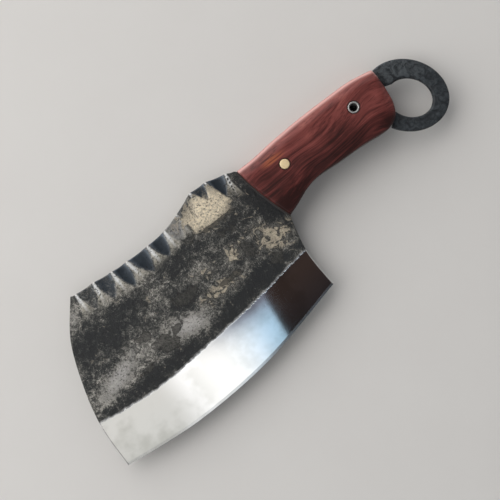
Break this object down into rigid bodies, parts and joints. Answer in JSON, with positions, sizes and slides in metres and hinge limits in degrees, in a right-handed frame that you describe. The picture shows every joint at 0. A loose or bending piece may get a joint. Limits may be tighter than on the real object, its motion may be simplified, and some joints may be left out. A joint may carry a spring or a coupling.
{
  "type": "meat cleaver",
  "caption": "Hand-forged meat cleaver: broad blade with a hammered spine and ground bevel, riveted hardwood handle on a full tang, and a forged finger ring at the butt.",
  "frame": {"origin": "below the middle of the bounding box, on the surface the cleaver lies on (the lower scale's flat land)", "axes": "+X along the tang from the blade's front end to the finger ring, +Y from the cutting edge to the spine, +Z through the thickness, up out of the side that faces the viewer"},
  "size_m": [0.293, 0.1138, 0.0215],
  "materials": {
    "forged_steel": "forge-scale blue-black with a polished ground bevel",
    "rosewood": "oiled satin red-brown hardwood",
    "epoxy": "dark cured glue line",
    "brass": "sanded flush, satin",
    "tube_steel": "sanded flush, bright"
  },
  "bodies": {
    "root": {"forged_blade": "forged_steel", "upper_scale": "rosewood", "lower_scale": "rosewood", "upper_glue_line": "epoxy", "lower_glue_line": "epoxy", "brass_pin": "brass", "lanyard_tube": "tube_steel"}
  },
  "joints": []
}
